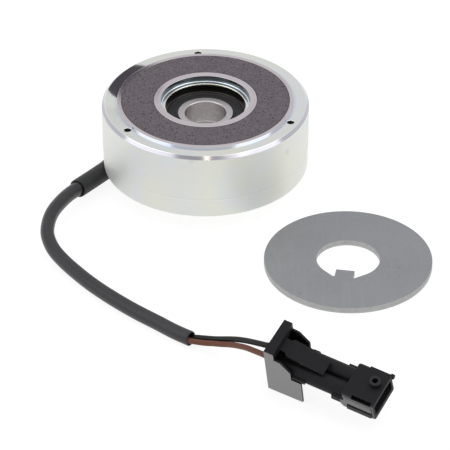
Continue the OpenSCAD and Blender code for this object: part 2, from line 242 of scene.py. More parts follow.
class Graph:
    """Adds nodes of any type to a tree and hands back their outputs as signals."""

    def __init__(self, tree):
        self.tree = tree
        tree.nodes.clear()

    def add(self, kind, inputs=None, output=0, stops=None, **settings):
        node = self.tree.nodes.new(kind)
        for name, value in settings.items():
            setattr(node, name, value)
        if stops:
            ramp = node.color_ramp
            while len(ramp.elements) < len(stops):
                ramp.elements.new(0.5)
            for element, (place, colour) in zip(ramp.elements, stops):
                element.position = place
                element.color = colour
        for name, value in (inputs or {}).items():
            plug_in(self.tree, node.inputs[name], value)
        return Signal(self.tree, node.outputs[output])

    def end(self, kind, socket, value):
        """Links a value to the tree's output node."""
        plug_in(self.tree, self.tree.nodes.new(kind).inputs[socket], value)


def rgba(colour, scale=1.0):
    """Four numbers from a colour, made lighter or darker."""
    return (*(min(1.0, part * scale) for part in colour[:3]), 1.0)


class Finish(Graph):
    """A material of one Principled shader, drawn in the piece's own coordinates."""

    def __init__(self, name):
        self.material = bpy.data.materials.new(name)
        self.material.use_nodes = True
        super().__init__(self.material.node_tree)
        self.shader = self.tree.nodes.new("ShaderNodeBsdfPrincipled")
        self.place = self.add("ShaderNodeTexCoord", output="Object")
        self.end("ShaderNodeOutputMaterial", "Surface", self.shader.outputs[0])

    def put(self, **sockets):
        """Sets or links the shader's sockets; an underscore stands for a space."""
        for name, value in sockets.items():
            plug_in(self.tree, self.shader.inputs[name.replace("_", " ")], value)

    def moved(self, shift=(0, 0, 0), turn=(0, 0, 0), scale=(1, 1, 1)):
        """The piece's coordinates, shifted, turned or stretched."""
        return self.add(
            "ShaderNodeMapping",
            {"Vector": self.place, "Location": shift, "Rotation": turn, "Scale": scale},
        )

    def noise(self, scale, detail=3.0, roughness=0.55, where=None, distortion=0.0):
        return self.add(
            "ShaderNodeTexNoise",
            {
                "Vector": where or self.place,
                "Scale": scale,
                "Detail": detail,
                "Roughness": roughness,
                "Distortion": distortion,
            },
        )

    def cells(self, scale, feature="F1", where=None, randomness=1.0):
        return self.add(
            "ShaderNodeTexVoronoi",
            {"Vector": where or self.place, "Scale": scale, "Randomness": randomness},
            feature=feature,
        )

    def step(self, signal, start, end):
        """0 below start and 1 above end, smooth between; start may be the larger."""
        rising = start < end
        return self.add(
            "ShaderNodeMapRange",
            {
                "Value": signal,
                "From Min": min(start, end),
                "From Max": max(start, end),
                "To Min": 0.0 if rising else 1.0,
                "To Max": 1.0 if rising else 0.0,
            },
            interpolation_type="SMOOTHSTEP",
        )

    def mix(self, factor, first, second, blend="MIX"):
        node = self.tree.nodes.new("ShaderNodeMix")
        node.data_type = "RGBA"
        node.blend_type = blend
        sockets = {slot.identifier: slot for slot in node.inputs}
        plug_in(self.tree, sockets["Factor_Float"], factor)
        plug_in(self.tree, sockets["A_Color"], first)
        plug_in(self.tree, sockets["B_Color"], second)
        return Signal(self.tree, node.outputs[2])

    def axes(self, where=None):
        """X, Y and Z of a vector as three signals."""
        node = self.tree.nodes.new("ShaderNodeSeparateXYZ")
        plug_in(self.tree, node.inputs[0], where or self.place)
        return [Signal(self.tree, out) for out in node.outputs]

    def radius(self, centre=(0.0, 0.0)):
        """Distance from an upright axis through centre, in metres."""
        x, y, _ = self.axes()
        dx, dy = x - centre[0], y - centre[1]
        return (dx * dx + dy * dy) ** 0.5

    def bump(self, height, strength, distance=0.0001):
        normal = self.add(
            "ShaderNodeBump", {"Height": height, "Strength": strength, "Distance": distance}
        )
        self.put(Normal=normal)
        return self.material


# ------------------------------------------------------------------ finishes


def zinc_finish(name, colours, sizes):
    """Bright zinc plate: satin on the wall, bright on the rim, with a faint rainbow film."""
    finish = Finish(name)
    rim = high("outer_pole_shell").z - sizes.rim_drop
    drift = finish.noise(24.0, detail=2.0, distortion=0.6)
    film = finish.noise(40.0, detail=2.0, where=finish.moved(shift=(0.3, 0.1, 0.7)))
    base = finish.mix(finish.step(drift, 0.36, 0.66) * 0.8, rgba(colours.zinc), rgba(colours.zinc_warm))
    base = finish.mix(finish.step(film, 0.46, 0.72) * 0.5, base, rgba(colours.zinc_cool))
    ring, height = finish.radius(), finish.axes()[2]
    top = finish.step(height, (rim - 0.3) * MM, (rim - 0.1) * MM)
    turned = finish.step(height, (rim - sizes.rim_bevel - 0.15) * MM, (rim - sizes.rim_bevel + 0.05) * MM)
    near_ring = finish.step(ring, (sizes.ring_radius + 2.0) * MM, (sizes.ring_radius + 0.2) * MM) * top
    base = finish.mix(near_ring * 0.45, base, (0.60, 0.65, 0.82, 1.0))
    outer = finish.step(ring, 0.0470, 0.0492) * top
    base = finish.mix(outer * 0.3, base, (0.80, 0.84, 0.78, 1.0))
    smudge = finish.step(finish.noise(85.0, detail=4.0, distortion=0.5), 0.66, 0.76)
    base = finish.mix(smudge * (1.0 - turned) * 0.30, base, (0.58, 0.57, 0.52, 1.0))
    specks = finish.step(finish.cells(260.0), 0.07, 0.03) * finish.step(finish.noise(130.0), 0.60, 0.66)
    base = finish.mix(specks * 0.45, base, (0.45, 0.40, 0.33, 1.0))
    grain = finish.noise(900.0, detail=2.0, where=finish.moved(scale=(1, 1, 0.25)))
    smear = finish.noise(70.0, detail=4.0, where=finish.moved(scale=(1, 1, 2.2)))
    base = finish.mix(turned * (1.0 - top) * 0.9, base, (0.56, 0.54, 0.60, 1.0))
    seam = low("outer_pole_shell").z
    # A thin light line painted along the seam: a painted highlight in place of the light that its tiny
    # chamfer would catch.
    line = finish.step(height, (seam - 0.55) * MM, (seam - 0.2) * MM)
    line *= finish.step(height, (seam + 0.25) * MM, (seam + 0.05) * MM)
    base = finish.mix(line * 0.9, base, (0.97, 0.97, 0.94, 1.0))
    # A faint dark band just above the seam: painted shade for the groove there.
    groove = finish.step(height, (seam + 0.05) * MM, (seam + 0.2) * MM)
    groove *= finish.step(height, (seam + 0.75) * MM, (seam + 0.35) * MM)
    base = finish.mix(groove * 0.16, base, (0.40, 0.39, 0.36, 1.0))
    satin = 0.46 + smear * 0.12
    aside = finish.radius(MIRROR_CENTRE)
    bright = 0.015 + smear * 0.03 + (1.0 - top * finish.step(aside, 0.036, 0.026)) * 0.12
    finish.put(Base_Color=base, Metallic=0.55 + turned * 0.45)
    finish.put(Roughness=satin * (1.0 - turned) + bright * turned)
    return finish.bump((grain * 0.5 + finish.noise(160.0) * 0.5) * (1.0 - top * 0.8), 0.06, 0.00005)


def turned_finish(name, colour, rough=0.30, pitch=0.00035, depth=0.25):
    """Turned or ground steel with fine circular tool marks about the axis."""
    finish = Finish(name)
    ring = finish.radius()
    wander = finish.noise(300.0, detail=2.0) * 0.00006
    marks = finish.add(
        "ShaderNodeTexWave",
        {
            "Vector": finish.add(
                "ShaderNodeCombineXYZ", {"X": (ring + wander) * (1.0 / pitch) * 0.05, "Y": 0.0, "Z": 0.0}
            ),
            "Scale": 1.0,
            "Distortion": 1.5,
            "Detail": 2.0,
        },
        output="Fac",
        wave_type="BANDS",
    )
    cloud = finish.noise(90.0, detail=3.0)
    specks = finish.step(finish.cells(700.0), 0.13, 0.05) * finish.step(finish.noise(260.0), 0.55, 0.62)
    base = finish.mix(finish.step(cloud, 0.35, 0.70) * 0.35, rgba(colour), rgba(colour, 0.80))
    base = finish.mix(marks * 0.18, base, rgba(colour, 1.22))
    base = finish.mix(specks * 0.5, base, rgba(colour, 0.35))
    finish.put(Base_Color=base, Metallic=1.0, Roughness=(0.85 + cloud * 0.30 + marks * 0.15) * rough)
    return finish.bump(marks, depth, 0.00002)


def lining_finish(name, colours):
    """Ground friction compound: dark grey with black chips, pits and pale fibres."""
    finish = Finish(name)
    grain = finish.noise(1500.0, detail=4.0, roughness=0.7)
    cloud = finish.noise(260.0, detail=3.0)
    base = finish.mix(finish.step(grain, 0.35, 0.68), rgba(colours.lining, 0.66), rgba(colours.lining, 1.40))
    base = finish.mix(finish.step(cloud, 0.40, 0.65) * 0.35, base, rgba(colours.lining, 0.74))
    coarse = finish.cells(760.0)
    fine = finish.cells(1500.0, where=finish.moved(shift=(0.2, 0.5, 0.1)))
    chips = finish.step(coarse, 0.40, 0.26) * finish.step(finish.noise(620.0, detail=2.0), 0.50, 0.55)
    dust = finish.step(fine, 0.42, 0.26) * finish.step(finish.noise(900.0, detail=2.0), 0.46, 0.54)
    pale = finish.step(finish.cells(900.0, where=finish.moved(shift=(0.7, 0.2, 0.4))), 0.22, 0.12)
    base = finish.mix(pale * 0.40, base, rgba(colours.lining, 2.6))
    base = finish.mix(dust * 0.60, base, rgba(colours.lining, 0.25))
    base = finish.mix(chips * 0.92, base, rgba(colours.lining, 0.08))
    ring = finish.radius()
    outside, inside = high("friction_lining").x, high("inner_pole_core").x
    border = finish.step(ring, (outside - 0.4) * MM, outside * MM)
    border += finish.step(ring, (inside + 0.5) * MM, (inside + 0.15) * MM)
    base = finish.mix(border * 0.75, base, rgba(colours.lining, 0.22))
    finish.put(Base_Color=base, Metallic=0.0, Roughness=0.62 + grain * 0.2)
    finish.put(Specular_IOR_Level=0.45)
    return finish.bump(grain * 0.5 - chips - dust * 0.5, 0.6, 0.00008)


def sheet_steel_finish(name, colours, top):
    """Flat ground sheet steel: even grey, faint straight grinding marks, a few stains."""
    finish = Finish(name)
    lines = finish.noise(420.0, detail=3.0, where=finish.moved(turn=(0, 0, 0.35), scale=(1.0, 0.05, 1.0)))
    cloud = finish.noise(42.0, detail=4.0)
    mottle = finish.noise(700.0, detail=2.0)
    clouded = finish.step(cloud, 0.36, 0.66) * 0.5
    base = finish.mix(clouded, rgba(colours.armature), rgba(colours.armature, 0.90))
    base = finish.mix(finish.step(mottle, 0.40, 0.66) * 0.25, base, rgba(colours.armature, 1.14))
    base = finish.mix(finish.step(lines, 0.56, 0.70) * 0.20, base, rgba(colours.armature, 1.18))
    spots = finish.step(finish.cells(85.0), 0.09, 0.03) * finish.step(finish.noise(55.0), 0.50, 0.58)
    base = finish.mix(spots * 0.55, base, rgba(colours.armature, 0.45))
    _, _, height = finish.axes()
    side = finish.step(height, (top - 0.08) * MM, (top - 0.22) * MM)
    worn = finish.step(finish.noise(500.0), 0.42, 0.60)
    warm = finish.mix(worn, (0.28, 0.275, 0.255, 1), (0.40, 0.395, 0.37, 1))
    band = finish.step(height, 0.00065, 0.0010) * 0.35
    warm = finish.mix(band, (0.42, 0.425, 0.425, 1.0), warm)
    nicks = finish.step(finish.cells(420.0), 0.20, 0.10) * finish.step(finish.noise(300.0), 0.52, 0.58)
    warm = finish.mix(nicks * 0.6, warm, (0.16, 0.15, 0.13, 1.0))
    base = finish.mix(side, base, warm)
    finish.put(Base_Color=base, Metallic=0.92, Roughness=0.40 + cloud * 0.10 - side * 0.05)
    return finish.bump(lines * 0.6 + mottle * 0.4, 0.22, 0.00003)


def rubber_finish(name, colour, rough=0.55):
    """Moulded rubber: matt, with a fine grain and faint scuffs."""
    finish = Finish(name)
    grain = finish.noise(900.0, detail=3.0)
    scuff = finish.step(finish.noise(140.0, detail=4.0, distortion=1.0), 0.56, 0.72)
    base = finish.mix(scuff * 0.35, rgba(colour), rgba(colour, 2.0))
    base = finish.mix(finish.step(grain, 0.50, 0.70) * 0.25, base, rgba(colour, 1.5))
    finish.put(Base_Color=base, Roughness=rough + grain * 0.12 - scuff * 0.08)
    return finish.bump(grain, 0.20, 0.00006)


def jacket_finish(name, colour):
    """The cable's jacket: satin grey plastic with faint lengthwise rubs."""
    finish = Finish(name)
    grain = finish.noise(1400.0, detail=3.0)
    rub = finish.step(finish.noise(90.0, detail=4.0, distortion=1.5), 0.52, 0.74)
    base = finish.mix(rub * 0.35, rgba(colour), rgba(colour, 1.8))
    finish.put(Base_Color=base, Roughness=0.30 + grain * 0.10 - rub * 0.06)
    finish.put(Specular_IOR_Level=0.45)
    return finish.bump(grain, 0.10, 0.00005)


def insulation_finish(name, colour):
    """Smooth wire insulation with a soft shine."""
    finish = Finish(name)
    flow = finish.noise(320.0, detail=2.0)
    base = finish.mix(finish.step(flow, 0.40, 0.68) * 0.30, rgba(colour), rgba(colour, 1.35))
    finish.put(Base_Color=base, Roughness=0.34 + flow * 0.08)
    finish.put(Specular_IOR_Level=0.30)
    return finish.bump(flow, 0.06, 0.00005)


def bore_finish(name, colours, sizes):
    """The bore of the inner pole: darker above the lip, a bright bluish lip with a yellowish line on its
    edge, and painted shade on the deep wall below the lip.
    """
    finish = Finish(name)
    height = finish.axes()[2]
    ring = finish.radius()
    ledge = high("inner_pole_core").z - sizes.lip_depth
    upper = finish.step(height, (ledge + 0.25) * MM, (ledge + 0.55) * MM)
    seat = high("bearing_outer_ring").z
    # The wall below the lip, down to the bearing, which takes the painted shade.
    lower = finish.step(height, (ledge - 0.45) * MM, (ledge - 0.70) * MM)
    lower *= finish.step(height, (seat - 0.5) * MM, (seat - 0.1) * MM)
    base = finish.mix(finish.step(ring, 0.0202, 0.0206), rgba(colours.zinc_warm), rgba(colours.zinc_cool))
    base = finish.mix(upper, base, (0.100, 0.125, 0.132, 1.0))
    # Painted shade: the wall below the lip turns near black, for the shadow deep in the bore.
    base = finish.mix(lower, base, (0.060, 0.060, 0.050, 1.0))
    under = finish.step(height, seat * MM, (seat - 3.0) * MM)
    base = finish.mix(under, base, (0.40, 0.38, 0.38, 1.0))
    smear = finish.noise(150.0, detail=3.0)
    finish.put(Base_Color=base, Metallic=1.0, Roughness=0.14 + smear * 0.08)
    return finish.bump(smear, 0.05, 0.00004)


def race_finish(name, colours):
    """The honed bore of the inner ring: pale steel with fine marks round it, mottled by handling."""
    finish = Finish(name)
    mottle = finish.noise(900.0, detail=3.0)
    cloud = finish.noise(220.0, detail=3.0)
    handled = finish.step(mottle, 0.36, 0.64) * 0.5
    base = finish.mix(handled, rgba(colours.bearing, 1.45), rgba(colours.bearing, 1.10))
    base = finish.mix(finish.step(cloud, 0.45, 0.65) * 0.3, base, rgba(colours.bearing, 1.0))
    finish.put(Base_Color=base, Metallic=1.0, Roughness=0.20 + mottle * 0.06)
    finish.put(Anisotropic=0.95, Anisotropic_Rotation=0.25)
    return finish.bump(mottle, 0.05, 0.00002)


def plastic_finish(name, colour, rough=0.34):
    """Moulded plastic: satin, fine spark-eroded texture, slight flow marks and dust."""
    finish = Finish(name)
    grain = finish.noise(2600.0, detail=2.0)
    flow = finish.noise(110.0, detail=3.0, distortion=1.6)
    dust = finish.step(finish.cells(900.0), 0.10, 0.04) * finish.step(finish.noise(240.0), 0.55, 0.62)
    base = finish.mix(finish.step(flow, 0.40, 0.70) * 0.35, rgba(colour), rgba(colour, 1.7))
    base = finish.mix(dust * 0.20, base, (0.25, 0.24, 0.23, 1.0))
    finish.put(Base_Color=base, Roughness=rough + flow * 0.12 + grain * 0.05)
    return finish.bump(grain * 0.7 + flow * 0.3, 0.12, 0.00004)


def moulded_finish(name, colour, polish, start):
    """The plug's black plastic: textured, but bright on the flat sides beyond start millimetres."""
    finish = Finish(name)
    grain = finish.noise(2200.0, detail=2.0)
    flow = finish.noise(110.0, detail=3.0, distortion=1.6)
    facing = finish.add("ShaderNodeTexCoord", output="Normal")
    sideways = PLUG_FRAME.to_3x3() @ Vector((0, 1, 0))
    turned_out = finish.add(
        "ShaderNodeVectorMath", {0: facing, 1: sideways}, output="Value", operation="DOT_PRODUCT"
    )
    turned_out = finish.add("ShaderNodeMath", {0: turned_out}, operation="ABSOLUTE")
    side = finish.step(turned_out, 0.25, 0.95)
    along, across, up = finish.axes(
        finish.add(
            "ShaderNodeMapping",
            {"Vector": finish.place, "Location": PLUG_PLACE * MM, "Rotation": PLUG_TURN},
            vector_type="TEXTURE",
        )
    )
    rail = finish.step(across, -0.00945, -0.00960)
    east, north = along - BOSS_CENTRE[0], across - BOSS_CENTRE[1]
    reach = (east * east + north * north) ** 0.5
    # The top of the boss is painted lighter than the plastic: a painted highlight for its bevelled rim.
    boss_top_highlight = finish.step(reach, 0.0028, 0.0025) * finish.step(up, 0.0222, 0.0230)
    base = finish.mix(finish.step(flow, 0.40, 0.70) * 0.30, rgba(colour), rgba(colour, 1.8))
    base = finish.mix(boss_top_highlight * 0.8, base, (0.030, 0.029, 0.031, 1.0))
    streak = finish.step(finish.noise(60.0, detail=3.0, where=finish.moved(scale=(1, 1, 6))), 0.55, 0.75)
    finish.put(Base_Color=base, Roughness=0.44 + flow * 0.10 + grain * 0.06)
    finish.put(Specular_IOR_Level=0.20, Coat_IOR=2.2, Coat_Roughness=0.14)
    side *= finish.step(along, (start - 0.3) * MM, (start + 0.3) * MM) * polish
    finish.put(Coat_Weight=side * (1.0 - rail * 0.9) * (1.0 - streak * 0.15))
    return finish.bump(grain * 0.7 + flow * 0.3, 0.10, 0.00004)


# -------------------------------------------------------------- mesh helpers


def fresh_piece(name, mesh, body, material, stands_for=()):
    """Links a mesh as a piece that rides on a body, with its finish."""
    piece = placed(name, mesh)
    if material:
        mesh.materials.clear()
        mesh.materials.append(material)
    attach(piece, body)
    if stands_for:
        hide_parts(*stands_for)
    return piece


def smoothed(mesh, angle=32.0):
    """Smooth shading with sharp edges kept."""
    mesh.shade_smooth()
    mesh.set_sharp_from_angle(angle=math.radians(angle))
    return mesh


def settled(mesh, angle=32.0):
    """Smooth shading in which the flat faces stay flat, with sharp edges kept."""
    smoothed(mesh, angle)
    host = placed("settling", mesh)
    host.modifiers.new("flats", "WEIGHTED_NORMAL").keep_sharp = True
    bpy.context.view_layer.update()
    return baked(host)


def eased(profile, edge, segments=3):
    """A closed outline in millimetres with each corner rounded by up to edge."""
    result = []
    count = len(profile)
    for i, corner in enumerate(profile):
        before, here, after = (Vector(profile[(i + k) % count][:2]) for k in (-1, 0, 1))
        own = corner[2] if len(corner) > 2 else edge
        way_in, way_out = before - here, after - here
        turn = way_in.angle(way_out, math.pi)
        reach = min(own / math.tan(turn / 2), way_in.length * 0.45, way_out.length * 0.45) if own else 0.0
        if reach < 1e-4 or abs(turn - math.pi) < 1e-3:
            result.append(here)
            continue
        first, last = here + way_in.normalized() * reach, here + way_out.normalized() * reach
        for k in range(segments + 1):
            t = k / segments
            result.append((1 - t) ** 2 * first + 2 * t * (1 - t) * here + t ** 2 * last)
    return result


def meshed(name, form):
    """The mesh that a finished bmesh describes."""
    mesh = bpy.data.meshes.new(name)
    form.to_mesh(mesh)
    form.free()
    return mesh


def skin(name, rings, looped=False, back=-1):
    """A closed skin over rings of points; looped joins the last ring to the first.

    Where both ends are closed instead, back is the way round in which the first one runs.
    """
    form = bmesh.new()
    rows = [[form.verts.new(point) for point in ring] for ring in rings]
    for here, there in zip(rows, rows[1:] + rows[:1] if looped else rows[1:]):
        count = len(here)
        for k in range(count):
            n = (k + 1) % count
            form.faces.new((here[k], here[n], there[n], there[k]))
    if not looped:
        form.faces.new(rows[0][::back])
        form.faces.new(rows[-1])
    bmesh.ops.recalc_face_normals(form, faces=form.faces)
    return meshed(name, form)


def turned_mesh(name, profile, steps):
    """Turns a closed outline of (radius, height), in millimetres, about the clutch's axis."""
    rings = []
    for i in range(steps):
        turn = 2 * math.pi * i / steps
        east, north = math.cos(turn), math.sin(turn)
        rings.append([(r * east * MM, r * north * MM, z * MM) for r, z in profile])
    return settled(skin(name, rings, looped=True))


def rod_mesh(name, stations, steps=32, place=(0, 0)):
    """An upright solid of revolution from (height, radius) stations in millimetres."""
    turns = [2 * math.pi * i / steps for i in range(steps)]
    rings = [
        [Vector((place[0] + r * math.cos(a), place[1] + r * math.sin(a), z)) * MM for a in turns]
        for z, r in stations
    ]
    return smoothed(skin(name, rings))


def flat_mesh(name, loops, centre, thickness, edge, material):
    """A plate cut to outlines in millimetres, with rounded edges; the first outline is the outer one."""
    curve = bpy.data.curves.new(name, "CURVE")
    curve.dimensions = "2D"
    curve.fill_mode = "BOTH"
    curve.extrude = (thickness / 2 - edge) * MM
    curve.bevel_depth = edge * MM
    curve.bevel_resolution = 2
    curve.offset = -edge * MM
    for loop in loops:
        spline = curve.splines.new("POLY")
        spline.points.add(len(loop) - 1)
        for point, place in zip(spline.points, loop):
            point.co = (place[0] * MM, place[1] * MM, 0.0, 1.0)
        spline.use_cyclic_u = True
    plate = placed(name, curve)
    bpy.context.view_layer.update()
    mesh = baked(plate)
    form = bmesh.new()
    form.from_mesh(mesh)
    bmesh.ops.remove_doubles(form, verts=form.verts, dist=1e-6)
    bmesh.ops.translate(form, verts=form.verts, vec=centre * MM)
    form.to_mesh(mesh)
    form.free()
    mesh.materials.clear()
    mesh.materials.append(material)
    return settled(mesh, 40.0)


def baked(piece):
    """The evaluated mesh of an object that isn't kept."""
    depsgraph = bpy.context.evaluated_depsgraph_get()
    mesh = bpy.data.meshes.new_from_object(piece.evaluated_get(depsgraph), depsgraph=depsgraph)
    bpy.data.objects.remove(piece)
    return mesh


def drilled(mesh, cutters):
    """The mesh with each cutter mesh taken out of it."""
    body = placed("drilling", mesh)
    tools = []
    for cutter in cutters:
        tool = placed("drill", cutter)
        tools.append(tool)
        cut = body.modifiers.new("cut", "BOOLEAN")
        cut.operation = "DIFFERENCE"
        cut.solver = "EXACT"
        cut.object = tool
    bpy.context.view_layer.update()
    result = baked(body)
    for tool in tools:
        bpy.data.objects.remove(tool)
    return settled(result)


def corner_cutter(corner, radius, heights, lean=0.0):
    """What a rounded upright corner of the plug leaves off, in its frame; lean tips it back."""
    inward = [math.copysign(1, middle - value) for middle, value in zip(PLUG_MIDDLE, corner)]
    arc = [math.pi / 2 * k / 8 for k in range(9)]
    outline = [(radius * (1 - math.sin(a)), radius * (1 - math.cos(a))) for a in arc]
    outline += [(-CUT_SPARE, radius), (-CUT_SPARE, -CUT_SPARE), (radius, -CUT_SPARE)]
    rings = []
    for height in heights:
        shift = (heights[0] - height) * math.tan(lean)
        ring = [
            (corner[0] + shift + inward[0] * u, corner[1] + inward[1] * v, height)
            for u, v in outline
        ]
        rings.append([PLUG_FRAME @ (Vector(point) * MM) for point in ring])
    return skin("corner", rings, back=1)


def softened_copy(node, edge, material, body, name, cutters=()):
    """A CAD node's shape with its moulded edges rounded, standing for that node."""
    mesh = frame["nodes"][node].data.copy()
    if cutters:
        mesh = drilled(mesh, cutters)
    form = bmesh.new()
    form.from_mesh(mesh)
    bmesh.ops.remove_doubles(form, verts=form.verts, dist=2e-6)
    bmesh.ops.dissolve_limit(
        form, angle_limit=math.radians(1.0), verts=form.verts, edges=form.edges, delimit={"NORMAL"}
    )
    form.to_mesh(mesh)
    form.free()
    piece = placed("softening", mesh)
    bevel = piece.modifiers.new("edges", "BEVEL")
    bevel.width = edge * MM
    bevel.segments = 2
    bevel.limit_method = "ANGLE"
    bevel.angle_limit = math.radians(40)
    bevel.use_clamp_overlap = True
    piece.modifiers.new("flats", "WEIGHTED_NORMAL").keep_sharp = True
    smoothed(mesh, 30.0)
    bpy.context.view_layer.update()
    result = baked(piece)
    return fresh_piece(name, result, body, material, (node,))


# ------------------------------------------------------- geometry node trees


def node_tree(name, sizes):
    """An empty geometry tree with a float or integer input for each named size."""
    tree = bpy.data.node_groups.new(name, "GeometryNodeTree")
    graph = Graph(tree)
    for label, default in sizes.items():
        kind = "NodeSocketInt" if isinstance(default, int) else "NodeSocketFloat"
        socket = tree.interface.new_socket(label, in_out="INPUT", socket_type=kind)
        socket.default_value = default
    tree.interface.new_socket("Geometry", in_out="OUTPUT", socket_type="NodeSocketGeometry")
    entry = tree.nodes.new("NodeGroupInput")
    inputs = {label: Signal(tree, entry.outputs[label]) for label in sizes}
    return graph, inputs


def finished_tree(graph, geometry, material):
    """Ends a tree in Realize Instances and Set Material."""
    real = graph.add("GeometryNodeRealizeInstances", {"Geometry": geometry})
    coat = graph.add("GeometryNodeSetMaterial", {"Geometry": real, "Material": material})
    graph.end("NodeGroupOutput", "Geometry", coat)


def grown_mesh(graph, values):
    """Runs a tree with the given input values and returns the plain mesh it makes."""
    host = placed("growing", bpy.data.meshes.new("growing"))
    grow = host.modifiers.new("grow", "NODES")
    grow.node_group = graph.tree
    for item in graph.tree.interface.items_tree:
        if item.item_type == "SOCKET" and item.in_out == "INPUT" and item.name in values:
            grow[item.identifier] = values[item.name]
    bpy.context.view_layer.update()
    return baked(host)


def ring_of(name, pattern, count, radius, start, material):
    """Copies of a mesh set round an upright axis, made by a tree, in metres and degrees."""
    graph, size = node_tree(name, {"Count": int(count), "Radius": float(radius), "Start": float(start)})
    circle = graph.add(
        "GeometryNodeMeshCircle", {"Vertices": size["Count"], "Radius": size["Radius"]}, fill_type="NONE"
    )
    spot = graph.add("GeometryNodeInputIndex")
    turn = (spot / size["Count"]) * (2 * math.pi)
    holder = bpy.data.objects.new(name + "_pattern", pattern)
    info = graph.tree.nodes.new("GeometryNodeObjectInfo")
    info.inputs["Object"].default_value = holder
    angles = graph.add("ShaderNodeCombineXYZ", {"X": 0.0, "Y": 0.0, "Z": turn})
    copies = graph.add(
        "GeometryNodeInstanceOnPoints",
        {
            "Points": circle,
            "Instance": Signal(graph.tree, info.outputs["Geometry"]),
            "Rotation": angles,
        },
    )
    set_round = graph.add("ShaderNodeCombineXYZ", {"X": 0.0, "Y": 0.0, "Z": size["Start"]})
    swung = graph.add("GeometryNodeTransform", {"Geometry": copies, "Rotation": set_round})
    finished_tree(graph, swung, material)
    mesh = grown_mesh(graph, {"Count": count, "Radius": radius, "Start": math.radians(start)})
    bpy.data.objects.remove(holder)
    return mesh


def winding_mesh(name, radius, bottom, top, pitch, material):
    """One visible layer of a coil: a stack of wire turns between two heights, in metres."""
    turns = int((top - bottom) / pitch)
    values = {"Turns": turns, "Radius": radius, "Pitch": pitch, "Wire": pitch / 2, "Bottom": bottom}
    graph, size = node_tree(name, values)
    first = graph.add("ShaderNodeCombineXYZ", {"X": 0.0, "Y": 0.0, "Z": size["Bottom"]})
    step = graph.add("ShaderNodeCombineXYZ", {"X": 0.0, "Y": 0.0, "Z": size["Pitch"]})
    stack = graph.add(
        "GeometryNodeMeshLine",
        {"Count": size["Turns"], "Start Location": first, "Offset": step},
        mode="OFFSET",
    )
    turn = graph.add("GeometryNodeCurvePrimitiveCircle", {"Resolution": 96, "Radius": size["Radius"]})
    section = graph.add("GeometryNodeCurvePrimitiveCircle", {"Resolution": 8, "Radius": size["Wire"]})
    wire = graph.add("GeometryNodeCurveToMesh", {"Curve": turn, "Profile Curve": section})
    copies = graph.add("GeometryNodeInstanceOnPoints", {"Points": stack, "Instance": wire})
    finished_tree(graph, copies, material)
    return grown_mesh(graph, {**values, "Bottom": bottom + pitch / 2})


# --------------------------------------------------------------------- cords

SHEATH_ROUTE = [
    (-60, -18.6, 7.3), (-63, -23.5, 8), (-66.9, -29.8, 8.8), (-70.6, -37.2, 9.3),
    (-73.9, -45.4, 9.3), (-75.7, -53.9, 8.7), (-75.7, -62.7, 7.5), (-72.8, -71.6, 6),
    (-68, -79.2, 4.7), (-61.3, -88, 3.9), (-52.7, -98.7, 3.7), (-42.8, -109.4, 3.7),
    (-31.9, -119.8, 3.7), (-21.8, -128.3, 3.7), (-13.3, -135.6, 3.7), (-6, -141, 3.8),
]
BLACK_ROUTE = [
    (-5.1, -139.8, 3.9), (-2.8, -140.9, 4.4), (0.5, -142.6, 5.3), (3.7, -144.9, 6.7),
    (6.9, -147.5, 8.5), (10.1, -150.3, 10.6), (13.3, -153.2, 12.7), (16.4, -156.4, 14.8),
    (19.6, -159.9, 16.8), (22.7, -163.4, 18.6), (25.8, -166.6, 20.1), (28.7, -169, 21.1),
    (34.5, -169.9, 21.5), (36.7, -171.1, 21.3), (42.8, -174.5, 20.6),
]
BROWN_ROUTE = [
    (-6.9, -142.2, 3.8), (-2.7, -144.1, 4.2), (0.9, -146.3, 5.3), (4.6, -148.8, 6.9),
    (8.3, -152, 8.9), (11.9, -155.1, 11), (15.5, -158.9, 13.2), (19.1, -163.1, 15.3),
    (22.6, -167.7, 17.1), (25.3, -170.8, 18.1), (27.3, -173.1, 18.7), (30.7, -176.2, 18.8),
    (32.8, -177.5, 18.6), (38.9, -180.9, 17.8),
]
SLEEVE_ROUTE = [(-43.9, 8.7, 4.7), (-49.5, -1.5, 4.8), (-56.2, -12.4, 6.3), (-63, -23.5, 8)]


def cord_piece(name, route, diameter, material, node):
    """A round cord as one open curve through its route."""
    curve = bpy.data.curves.new(name, "CURVE")
    curve.dimensions = "3D"
    curve.bevel_depth = diameter * MM / 2
    curve.bevel_resolution = 6
    curve.resolution_u = 6
    curve.use_fill_caps = True
    spline = curve.splines.new("BEZIER")
    spline.bezier_points.add(len(route) - 1)
    for point, place in zip(spline.bezier_points, route):
        point.co = Vector(place) * MM
        point.handle_left_type = point.handle_right_type = "AUTO"
    curve.materials.append(material)
    piece = placed(name, curve)
    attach(piece, "clutch_body")
    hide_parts(node)
    return piece


def smooth_route(route, parts=5):
    """Points of a smooth line through a route, by the Catmull-Rom rule."""
    points = [Vector(point) for point in route]
    points = [2 * points[0] - points[1], *points, 2 * points[-1] - points[-2]]
    line = []
    for p, q, r, s in zip(points, points[1:], points[2:], points[3:]):
        for k in range(parts):
            u = k / parts
            square, cube = 2 * p - 5 * q + 4 * r - s, 3 * q - p - 3 * r + s
            line.append(0.5 * (2 * q + (r - p) * u + square * u**2 + cube * u**3))
    return [*line, points[-2]]


def ways_along(points):
    """The direction of a line at each of its points."""
    last = len(points) - 1
    return [(points[min(i + 1, last)] - points[max(i - 1, 0)]).normalized() for i in range(last + 1)]


